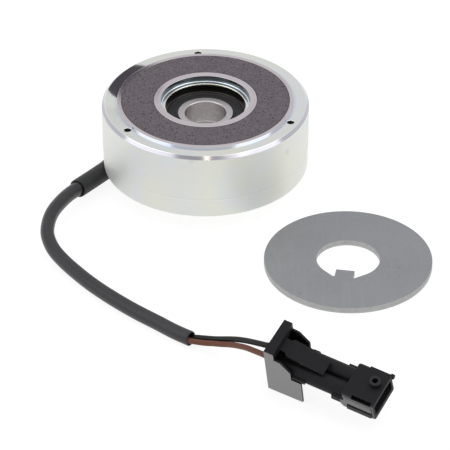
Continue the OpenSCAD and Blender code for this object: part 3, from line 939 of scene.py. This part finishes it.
def swept_mesh(name, stations, steps=40, tall=1.0):
    """A closed skin over (centre, radius, direction) stations; tall stretches it upwards."""
    turns = [2 * math.pi * k / steps for k in range(steps)]
    rings = []
    for centre, radius, along in stations:
        side = along.cross(Vector((0, 0, 1))).normalized()
        up = side.cross(along).normalized()
        rings.append(
            [(centre + radius * (math.cos(a) * side + tall * math.sin(a) * up)) * MM for a in turns]
        )
    return smoothed(skin(name, rings), 50.0)


class ClutchOperator(bpy.types.Operator):
    """Shared settings of the operators below."""

    bl_options = {"REGISTER", "UNDO"}

    @property
    def sizes(self):
        return bpy.context.scene.clutch_sizes

    @property
    def colours(self):
        return bpy.context.scene.clutch_colours


class CLUTCH_OT_stage(ClutchOperator):
    """Sets the camera, the floor and the lamps"""

    bl_idname = "clutch.stage"
    bl_label = "Stage"

    def execute(self, context):
        stage = context.scene.clutch_stage
        self.camera(context, stage)
        self.floor()
        self.lamps()
        self.card()
        self.surroundings(context)
        context.scene.view_settings.view_transform = "Standard"
        return {"FINISHED"}

    def camera(self, context, stage):
        lens = bpy.data.cameras.new("camera")
        lens.lens = stage.lens
        lens.sensor_width = 36.0
        lens.clip_end = 20.0
        camera = placed("camera", lens)
        camera.location = stage.camera_place
        camera.rotation_euler = (math.pi / 2 - stage.elevation, 0.0, 0.0)
        context.scene.camera = camera

    def floor(self):
        """A pale floor that looks white to the eye and to the metal and keeps a soft shadow."""
        mesh = bpy.data.meshes.new("floor")
        half = 4.0
        mesh.from_pydata(
            [(-half, -half, -1e-4), (half, -half, -1e-4), (half, half, -1e-4), (-half, half, -1e-4)],
            [],
            [(0, 1, 2, 3)],
        )
        floor = placed("floor", mesh)
        material = bpy.data.materials.new("floor_white")
        material.use_nodes = True
        graph = Graph(material.node_tree)
        path = graph.tree.nodes.new("ShaderNodeLightPath")
        seen = Signal(graph.tree, path.outputs["Is Camera Ray"]) + Signal(
            graph.tree, path.outputs["Is Glossy Ray"]
        )
        matt = graph.add("ShaderNodeBsdfDiffuse", {"Color": (0.20, 0.20, 0.20, 1.0)})
        open_sky = graph.add("ShaderNodeAmbientOcclusion", {"Distance": 0.06}, output="AO", samples=6)
        lit = graph.add(
            "ShaderNodeMapRange",
            {"Value": open_sky, "From Min": 0.02, "From Max": 0.30, "To Min": 0.60, "To Max": 0.88},
        )
        open_floor = 0.88 - Signal(graph.tree, path.outputs["Is Glossy Ray"]) * (0.88 - lit)
        glow = graph.add("ShaderNodeEmission", {"Color": (1, 1, 1, 1), "Strength": open_floor})
        both = graph.add("ShaderNodeAddShader", {0: matt, 1: glow})
        plain = graph.add("ShaderNodeBsdfDiffuse", {"Color": (0.85, 0.85, 0.85, 1.0)})
        mixed = graph.add("ShaderNodeMixShader", {0: seen, 1: plain, 2: both})
        graph.end("ShaderNodeOutputMaterial", "Surface", mixed)
        mesh.materials.append(material)

    def lamps(self):
        """Three soft boxes, overhead, left and right front, and a small warm lamp in front."""
        boxes = (
            ("overhead", (0.05, 0.10, 1.6), (2.6, 2.0), 13.0, (1.0, 0.99, 0.98)),
            ("left", (-1.5, -0.5, 1.1), (1.6, 1.6), 7.0, (1.0, 1.0, 1.0)),
            ("right", (1.5, -0.7, 1.0), (1.6, 1.6), 7.5, (0.98, 0.99, 1.0)),
            ("front", (0.03, -0.86, 1.26), (0.09, 0.09), 0.10, (1.0, 0.90, 0.70)),
        )
        for name, place, size, power, colour in boxes:
            lamp = bpy.data.lights.new(name, "AREA")
            lamp.shape = "RECTANGLE"
            lamp.size, lamp.size_y = size
            lamp.energy = power
            lamp.color = colour
            box = placed(name, lamp)
            box.location = place
            aim = LAMP_TARGET - Vector(place)
            box.rotation_euler = aim.to_track_quat("-Z", "Y").to_euler()

    def card(self):
        """A small dark card behind the clutch that only the bright metal sees."""
        form = bmesh.new()
        corners = []
        for k in range(48):
            turn = 2 * math.pi * k / 48
            reach = Vector((CARD_REACH[0] * math.cos(turn), 0.0, CARD_REACH[1] * math.sin(turn)))
            corners.append(form.verts.new(CARD_CENTRE + reach))
        form.faces.new(corners)
        card = placed("card", meshed("card", form))
        card.visible_camera = False
        card.visible_diffuse = False
        card.visible_shadow = False
        material = bpy.data.materials.new("card_grey")
        material.use_nodes = True
        graph = Graph(material.node_tree)
        dark = graph.add("ShaderNodeEmission", {"Color": (0.075, 0.065, 0.085, 1.0), "Strength": 1.0})
        graph.end("ShaderNodeOutputMaterial", "Surface", dark)
        card.data.materials.append(material)

    def surroundings(self, context):
        """White to the eye; a studio that darkens towards its ceiling to the metal."""
        world = bpy.data.worlds.new("studio")
        world.use_nodes = True
        context.scene.world = world
        graph = Graph(world.node_tree)
        direction = graph.add("ShaderNodeTexCoord", output="Generated")
        split = graph.tree.nodes.new("ShaderNodeSeparateXYZ")
        graph.tree.links.new(direction.socket, split.inputs[0])
        up = Signal(graph.tree, split.outputs[2])
        shade = graph.add(
            "ShaderNodeValToRGB",
            {"Fac": up},
            stops=[
                (0.0, (0.92, 0.92, 0.92, 1)),
                (0.20, (0.88, 0.88, 0.89, 1)),
                (0.62, (0.72, 0.73, 0.75, 1)),
                (0.84, (0.48, 0.48, 0.50, 1)),
                (1.0, (0.22, 0.22, 0.23, 1)),
            ],
        )
        path = graph.tree.nodes.new("ShaderNodeLightPath")
        fill = graph.add("ShaderNodeBackground", {"Color": (0.95, 0.97, 1.0, 1), "Strength": 0.42})
        studio = graph.add("ShaderNodeBackground", {"Color": shade, "Strength": 1.0})
        white = graph.add("ShaderNodeBackground", {"Color": (1, 1, 1, 1), "Strength": 1.0})
        glossy = Signal(graph.tree, path.outputs["Is Glossy Ray"])
        seen = Signal(graph.tree, path.outputs["Is Camera Ray"])
        mixed = graph.add("ShaderNodeMixShader", {0: glossy, 1: fill, 2: studio})
        mixed = graph.add("ShaderNodeMixShader", {0: seen, 1: mixed, 2: white})
        graph.end("ShaderNodeOutputWorld", "Surface", mixed)


class CLUTCH_OT_cords(ClutchOperator):
    """Lays the jacketed cable, its sleeve and its two wires"""

    bl_idname = "clutch.cords"
    bl_label = "Cable and wires"

    def execute(self, context):
        sizes, colours = self.sizes, self.colours
        self.sleeve(sizes)
        self.cable(sizes, jacket_finish("cable_jacket", colours.jacket))
        black = insulation_finish("black_insulation", colours.black_wire)
        brown = insulation_finish("brown_insulation", colours.brown_wire)
        self.wire(sizes, "black_wire", BLACK_ROUTE, black, "wire_black", "black_insulation")
        self.wire(sizes, "brown_wire", BROWN_ROUTE, brown, "wire_brown", "brown_insulation")
        return {"FINISHED"}

    def cable(self, sizes, jacket):
        """The jacket, a little taller than wide, cut open round the two wires at its end."""
        line = smooth_route(SHEATH_ROUTE)
        ways = ways_along(line)
        wide, inside = sizes.cable_width / 2, sizes.cable_width / 2 - sizes.jacket_wall
        stations = [(point, wide, along) for point, along in zip(line, ways)]
        end, along = line[-1], ways[-1]
        stations[-1] = (end - along * 0.35, wide, along)
        lip = ((0.1, wide - 0.08), (0.0, wide - 0.3), (0.05, inside + 0.1), (0.3, inside), (4.0, inside))
        for back, radius in lip:
            stations.append((end - along * back, radius, along))
        mesh = swept_mesh("jacketed_cable", stations, 44, sizes.cable_height / sizes.cable_width)
        piece = fresh_piece("jacketed_cable", mesh, "clutch_body", jacket, ("cable_sheath",))

    def wire(self, sizes, name, route, material, node, slot):
        """One insulated wire, from inside the cut jacket to its seal in the plug."""
        cable = (Vector(SHEATH_ROUTE[-1]) - Vector(SHEATH_ROUTE[-2])).normalized()
        inner = Vector(route[0]) - cable * 3.0
        line = [tuple(inner), *route]
        piece = cord_piece(name, line, sizes.wire_diameter, material, node)

    def sleeve(self, sizes):
        """The strain relief: a plain rubber tube with a rounded lip round the cable."""
        points = [Vector(p) for p in SLEEVE_ROUTE]
        ways = [(b - a).normalized() for a, b in zip(points, points[1:])]
        wide = sizes.sleeve_diameter / 2
        stations = []
        for i, point in enumerate(points):
            along = (ways[max(i - 1, 0)] + ways[min(i, len(ways) - 1)]).normalized()
            stations.append((point, wide, along))
        end, along = points[-1], ways[-1]
        stations[-1] = (end - along * 0.55, wide, along)
        lip = sizes.cable_height / 2 + 0.1
        rounding = ((0.25, wide - 0.05), (0.05, wide - 0.2), (0.0, wide - 0.35), (0.1, lip), (4.0, lip))
        for back, radius in rounding:
            stations.append((end - along * back, radius, along))
        mesh = swept_mesh("rubber_sleeve", stations)
        material = rubber_finish("sleeve_rubber", self.colours.rubber, rough=0.50)
        fresh_piece("rubber_sleeve", mesh, "clutch_body", material, ("cable_sleeve",))
        softened_copy("cable_outlet_boot", 0.5, material, "clutch_body", "outlet_boot")


class CLUTCH_OT_magnet(ClutchOperator):
    """Turns the pole shell, the flux plate and the core, and sets the screws"""

    bl_idname = "clutch.magnet"
    bl_label = "Magnet body"

    def execute(self, context):
        sizes, colours = self.sizes, self.colours
        zinc = zinc_finish("zinc_plate", colours, sizes)
        ground = turned_finish("ground_pole", colours.pole, rough=0.08, depth=0.08)
        self.shell(sizes, zinc, ground)
        self.plate(sizes, zinc)
        self.core(sizes, bore_finish("plated_bore", colours, sizes), ground)
        black = plastic_finish("black_oxide", (0.030, 0.030, 0.033), rough=0.40)
        softened_copy("base_screws", 0.15, black, "clutch_body", "countersunk_screws")
        spring = plastic_finish("phosphated_spring", (0.090, 0.080, 0.080), rough=0.45)
        softened_copy("bearing_circlip", 0.10, spring, "clutch_body", "circlip")
        return {"FINISHED"}

    def shell(self, sizes, zinc, ground):
        bottom, top = low("outer_pole_shell"), high("outer_pole_shell")
        wall, pole, rim = top.x, top.z, top.z - sizes.rim_drop
        inside = high("potting_ring").x + 0.05
        outline = [
            (inside, bottom.z), (wall, bottom.z, 0.12), (wall, rim - sizes.rim_bevel, 0.15),
            (wall - sizes.rim_bevel, rim, 0.15), (sizes.ring_radius, rim, 0.0),
            (sizes.ring_radius, pole, 0.10), (inside, pole, 0.08),
        ]
        mesh = turned_mesh("pole_shell", eased(outline, 0.1), sizes.steps)
        bolts = MOUNTS["rim_holes"]["dims"]
        hole, spread = bolts["hole_r_mm"], bolts["hole_r_mm"] + 0.25
        stations = [(rim - 12, hole), (rim - 0.25, hole), (rim, spread), (rim + 1.5, spread)]
        turns = [2 * math.pi * i / bolts["count"] for i in range(bolts["count"])]
        drills = [around(sizes.first_hole + turn, bolts["pcd_mm"] / 2) for turn in turns]
        mesh = drilled(mesh, [rod_mesh("drill", stations, 48, place=drill) for drill in drills])
        fresh_piece("pole_shell", mesh, "clutch_body", zinc, ("outer_pole_shell",))
        mesh.materials.append(ground)
        mesh.materials.append(plastic_finish("drilled_steel", (0.020, 0.020, 0.020), rough=0.50))
        for face in mesh.polygons:
            middle = face.center / MM
            in_reach = any((middle.xy - drill).length < hole + 0.1 for drill in drills)
            inside_hole = middle.z < rim - 0.2 and in_reach
            face.material_index = 2 if inside_hole else int(middle.z > rim + 0.55)

    def plate(self, sizes, zinc):
        """The rear flux plate with its hub, its screw seats and the cable's hole."""
        box = high("base_plate")
        foot, core = MOUNTS["rear_pilot_bore"]["dims"]["r_mm"], high("inner_pole_core").x
        step = low("inner_pole_core").z
        outline = [
            (foot, 0, 0.5), (sizes.hub_radius, 0, 0.4), (sizes.hub_radius, sizes.hub_height, 0.0),
            (box.x, sizes.hub_height, 0.5), (box.x, box.z, 0.12), (core, box.z), (core, step), (foot, step),
        ]
        mesh = turned_mesh("flux_plate", eased(outline, 0.05), sizes.steps)
        hub = sizes.hub_height
        seat = [(hub - 2, 4.2), (hub, 4.2), (hub + 2.2, 2.15), (box.z + 1, 2.15)]
        turns = [sizes.first_screw + 2 * math.pi * i / 3 for i in range(3)]
        screws = [around(turn, sizes.screw_circle) for turn in turns]
        cutters = [rod_mesh("seat", seat, 40, place=screw) for screw in screws]
        lead = (low("coil_leads") + high("coil_leads")) / 2
        cutters.append(rod_mesh("outlet", [(hub - 2, 4.0), (box.z + 1, 4.0)], 40, place=lead))
        mesh = drilled(mesh, cutters)
        fresh_piece("flux_plate", mesh, "clutch_body", zinc, ("base_plate",))

    def core(self, sizes, bore, ground):
        """The inner pole: ground face, plated bore with its lip, bearing seat and circlip groove."""
        box, bearing = high("inner_pole_core"), high("bearing_outer_ring")
        seat, foot = bearing.x, low("inner_pole_core").z
        clip = low("bearing_circlip").z - 0.1
        groove = seat + 1.25
        rest = low("bearing_outer_ring").z
        lip = box.z - sizes.lip_depth
        outline = [
            (seat, foot, 0.3), (box.x, foot), (box.x, box.z, 0.12), (sizes.bore_radius, box.z, 0.25),
            (sizes.bore_radius, lip, 0.7), (sizes.lip_radius, lip, 0.45), (sizes.lip_radius, bearing.z, 0.0),
            (seat, bearing.z, 0.0), (seat, rest, 0.0), (groove, rest, 0.0), (groove, clip, 0.0),
            (seat, clip, 0.0),
        ]
        mesh = turned_mesh("inner_pole", eased(outline, 0.05, 5), sizes.steps)
        fresh_piece("inner_pole", mesh, "clutch_body", bore, ("inner_pole_core",))
        mesh.materials.append(ground)
        for face in mesh.polygons:
            face.material_index = 1 if face.center.z > (box.z - 0.08) * MM else 0


class CLUTCH_OT_coil(ClutchOperator):
    """Winds the coil and lays the tape, the resin and the friction lining over it"""

    bl_idname = "clutch.coil"
    bl_label = "Coil and lining"

    def execute(self, context):
        sizes, colours = self.sizes, self.colours
        copper = plastic_finish("enamelled_copper", (0.50, 0.17, 0.05), rough=0.22)
        self.winding(sizes, copper)
        dress("coil_leads", copper)
        dress("coil_bobbin", plastic_finish("natural_nylon", (0.70, 0.66, 0.55), rough=0.45))
        dress("winding_tape", plastic_finish("insulating_tape", (0.62, 0.47, 0.11), rough=0.30))
        dress("potting_ring", plastic_finish("cast_resin", (0.030, 0.033, 0.025), rough=0.20))
        self.lining(sizes, lining_finish("friction_compound", colours))
        return {"FINISHED"}

    def winding(self, sizes, copper):
        """A solid core of wire with its outer layer of turns shown one by one."""
        bottom, top = low("coil_winding"), high("coil_winding")
        pitch = (top.z - bottom.z) / round((top.z - bottom.z) / sizes.wire_pitch)
        outside = top.x - pitch / 2
        turns = winding_mesh("outer_turns", outside * MM, bottom.z * MM, top.z * MM, pitch * MM, copper)
        hub = high("inner_pole_core").x + 1.85
        under = turned_mesh(
            "wound_core",
            [(hub, bottom.z), (outside, bottom.z), (outside, top.z), (hub, top.z)],
            sizes.steps // 2,
        )
        form = bmesh.new()
        form.from_mesh(turns)
        form.from_mesh(under)
        form.to_mesh(turns)
        form.free()
        smoothed(turns, 50.0)
        fresh_piece("wound_coil", turns, "clutch_body", copper, ("coil_winding",))

    def lining(self, sizes, compound):
        bottom, top = low("friction_lining"), high("friction_lining")
        inside = high("inner_pole_core").x + 0.1
        outline = [(inside, bottom.z), (top.x, bottom.z), (top.x, top.z, 0.2), (inside, top.z, 0.15)]
        mesh = turned_mesh("friction_ring", eased(outline, 0.05), sizes.steps)
        fresh_piece("friction_ring", mesh, "clutch_body", compound, ("friction_lining",))


class CLUTCH_OT_bearing(ClutchOperator):
    """Makes the ball bearing: two rings, seals, balls and cage"""

    bl_idname = "clutch.bearing"
    bl_label = "Ball bearing"

    def execute(self, context):
        sizes, colours = self.sizes, self.colours
        steel = turned_finish("bearing_steel", colours.bearing, rough=0.30, pitch=0.00018)
        seal = rubber_finish("seal_rubber", colours.rubber, rough=0.50)
        self.inner(sizes, steel, race_finish("race_bore", colours))
        # The outer ring's dark colour is painted shade for the deep recess that it sits in.
        self.outer(sizes, turned_finish("blackened_race", (0.19, 0.165, 0.165), rough=0.30, pitch=0.00018))
        self.seal(sizes, seal, "bearing_front_seal", "front_seal", 1)
        self.seal(sizes, seal, "bearing_rear_seal", "rear_seal", -1)
        self.balls(sizes)
        dress("bearing_cage", plastic_finish("moulded_cage", (0.42, 0.30, 0.12), rough=0.45))
        return {"FINISHED"}

    def track(self, radius, sign, steps=10):
        """The ball groove in one ring, as points of a turned outline from top to bottom."""
        box = high("bearing_outer_ring")
        middle_z = (box.z + low("bearing_outer_ring").z) / 2
        path = (MOUNTS["bearing_bore"]["dims"]["r_mm"] + box.x) / 2
        groove = self.sizes.ball_diameter / 2 + 0.07
        reach = math.acos(abs(radius - path) / groove)
        angles = [reach * (1 - 2 * k / steps) for k in range(steps + 1)]
        return [(path + sign * groove * math.cos(a), middle_z + groove * math.sin(a), 0.0) for a in angles]

    def inner(self, sizes, steel, ground):
        bottom, top = low("bearing_inner_ring"), high("bearing_inner_ring")
        bore, shoulder = MOUNTS["bearing_bore"]["dims"]["r_mm"], high("bearing_inner_ring").x
        outline = [
            (bore, bottom.z, 0.8), (shoulder, bottom.z, 0.2), *self.track(shoulder, -1)[::-1],
            (shoulder, top.z, 0.2), (bore, top.z, 0.8),
        ]
        mesh = turned_mesh("inner_race", eased(outline, 0.1, 4), sizes.steps)
        fresh_piece("inner_race_ring", mesh, "inner_race", steel, ("bearing_inner_ring",))
        mesh.materials.append(ground)
        for face in mesh.polygons:
            face.material_index = int(face.center.xy.length < (bore + 0.03) * MM)

    def outer(self, sizes, steel):
        bottom, top = low("bearing_outer_ring"), high("bearing_outer_ring")
        seat = high("bearing_front_seal").x + 0.05
        land, seal = seat - 0.6, high("bearing_front_seal").z - low("bearing_front_seal").z + 0.4
        outline = [
            (top.x, bottom.z, 0.8), (top.x, top.z, 0.8), (seat, top.z, 0.15), (seat, top.z - seal, 0.0),
            (land, top.z - seal, 0.1), *self.track(land, 1), (land, bottom.z + seal, 0.1),
            (seat, bottom.z + seal, 0.0), (seat, bottom.z, 0.15),
        ]
        mesh = turned_mesh("outer_race", eased(outline, 0.1, 4), sizes.steps)
        fresh_piece("outer_race", mesh, "clutch_body", steel, ("bearing_outer_ring",))

    def seal(self, sizes, rubber, node, name, side):
        """A moulded seal: raised outer bead, shallow dish and an inner lip."""
        bottom, top = low(node), high(node)
        outside, inside = top.x, high("bearing_inner_ring").x + 0.12
        face, back = (top.z, bottom.z) if side > 0 else (bottom.z, top.z)
        dish = face - side * 0.35
        outline = [
            (inside, face - side * 0.25, 0.1), (inside + 0.9, face - side * 0.05, 0.2),
            (inside + 1.2, dish, 0.2),
            (outside - 1.0, dish, 0.2), (outside - 0.7, face, 0.15), (outside, face - side * 0.1, 0.15),
            (outside, back, 0.1), (inside + 0.4, back, 0.1),
        ]
        mesh = turned_mesh(name, eased(outline, 0.1), sizes.steps)
        fresh_piece(name, mesh, "clutch_body", rubber, (node,))

    def balls(self, sizes):
        """The balls, set round the bearing by a tree."""
        bottom, top = low("bearing_balls"), high("bearing_balls")
        path = (MOUNTS["bearing_bore"]["dims"]["r_mm"] + high("bearing_outer_ring").x) / 2
        form = bmesh.new()
        bmesh.ops.create_uvsphere(form, u_segments=32, v_segments=20, radius=(top.z - bottom.z) / 2 * MM)
        bmesh.ops.translate(form, verts=form.verts, vec=(0, 0, (top.z + bottom.z) / 2 * MM))
        pattern = meshed("ball", form)
        steel = turned_finish("ball_steel", (0.80, 0.80, 0.80), rough=0.06, depth=0.0)
        mesh = smoothed(ring_of("ball_ring", pattern, sizes.ball_count, path * MM, 0.0, steel), 60.0)
        fresh_piece("ball_set", mesh, "ball_set", steel, ("bearing_balls",))


class CLUTCH_OT_armature(ClutchOperator):
    """Blanks the armature disc with its keyed hole"""

    bl_idname = "clutch.armature"
    bl_label = "Armature disc"

    def execute(self, context):
        sizes = self.sizes
        lower, upper = low("armature_disc"), high("armature_disc")
        centre = (lower + upper) / 2
        steel = sheet_steel_finish("armature_steel", self.colours, upper.z)
        outer = [around(2 * math.pi * k / 256, (upper.x - lower.x) / 2) for k in range(256)]
        hole, half, tip = sizes.disc_hole / 2, sizes.key_width / 2, sizes.key_tip
        relief, swing = sizes.key_relief, sizes.relief_azimuth
        deep = (hole - relief - (half + relief) * math.sin(swing)) / math.cos(swing)
        arc = [around(swing + (2 * math.pi - 2 * swing) * k / 160, hole) for k in range(161)]
        centre_low = Vector((deep, -half - relief))
        bends = [(math.pi / 2 + swing) * k / 8 - swing for k in range(9)]
        side = [centre_low + around(bend, relief) for bend in bends]
        side += [Vector((tip + 0.15, -half)), Vector((tip, 0.15 - half))]
        inner = [*arc, *side, *[Vector((p.x, -p.y)) for p in reversed(side)]]
        turn = Matrix.Rotation(sizes.key_azimuth, 2)
        loops = [[turn @ Vector(p) for p in loop] for loop in (outer, inner)]
        mesh = flat_mesh("armature_plate", loops, centre, upper.z - lower.z, 0.18, steel)
        fresh_piece("armature_plate", mesh, "armature", steel, ("armature_disc",))
        return {"FINISHED"}


class CLUTCH_OT_plug(ClutchOperator):
    """Rounds the moulded edges of the plug and dresses its small parts"""

    bl_idname = "clutch.plug"
    bl_label = "Plug"

    def execute(self, context):
        sizes, colours = self.sizes, self.colours
        shell = moulded_finish("shell_plastic", colours.plug, 0.75, 37.2)
        cap = moulded_finish("cap_plastic", colours.plug, 1.0, -10.0)
        rear, front, near, far, lean = 37.5, 54.2, -9.1, 9.7, math.radians(5)
        corners = [
            corner_cutter((end, side), radius, heights, tip)
            for end, side, radius, heights, tip in (
                (rear, near, 1.4, (17.4, 22.0), 0.0),
                (rear, near, 1.4, (10.0, 13.5), 0.0),
                (rear, far, 1.5, (17.4, 22.0), 0.0),
                (rear, far, 1.5, (10.0, 13.5), 0.0),
                (front, near, 1.0, (11.0, 21.5), lean),
                (front, far, 1.0, (11.0, 18.0), lean),
            )
        ]
        for node, finish, name, cutters in (
            ("connector_housing", shell, "plug_housing", corners),
            ("connector_rear_cap", cap, "plug_rear_cap", ()),
        ):
            softened_copy(
                node, sizes.plug_edge, finish, "clutch_body", name, cutters
            )
        dress("wire_seals", rubber_finish("silicone", (0.40, 0.09, 0.04), rough=0.40))
        dress("terminal_pins", turned_finish("tin", (0.70, 0.68, 0.62), rough=0.25, depth=0.0))
        return {"FINISHED"}


class CLUTCH_PT_panel(bpy.types.Panel):
    """Lists the steps that dress the clutch"""

    bl_idname = "CLUTCH_PT_panel"
    bl_label = "Electromagnetic clutch"
    bl_space_type = "VIEW_3D"
    bl_region_type = "UI"
    bl_category = "Clutch"

    def draw(self, context):
        for step in STEPS:
            self.layout.operator(step.bl_idname)


STEPS = (
    CLUTCH_OT_stage,
    CLUTCH_OT_magnet,
    CLUTCH_OT_coil,
    CLUTCH_OT_bearing,
    CLUTCH_OT_armature,
    CLUTCH_OT_plug,
    CLUTCH_OT_cords,
)
GROUPS = {"clutch_sizes": ClutchSizes, "clutch_colours": ClutchColours, "clutch_stage": StageSettings}


def register():
    for group in GROUPS.values():
        bpy.utils.register_class(group)
    for step in STEPS:
        bpy.utils.register_class(step)
    bpy.utils.register_class(CLUTCH_PT_panel)
    for name, group in GROUPS.items():
        setattr(bpy.types.Scene, name, PointerProperty(type=group))


def unregister():
    for name in GROUPS:
        delattr(bpy.types.Scene, name)
    for kind in (CLUTCH_PT_panel, *reversed(STEPS), *GROUPS.values()):
        bpy.utils.unregister_class(kind)


def main():
    register()
    for step in STEPS:
        group, name = step.bl_idname.split(".")
        if getattr(getattr(bpy.ops, group), name)() != {"FINISHED"}:
            raise RuntimeError(f"{step.bl_label} did not finish")


if __name__ == "__main__":
    main()
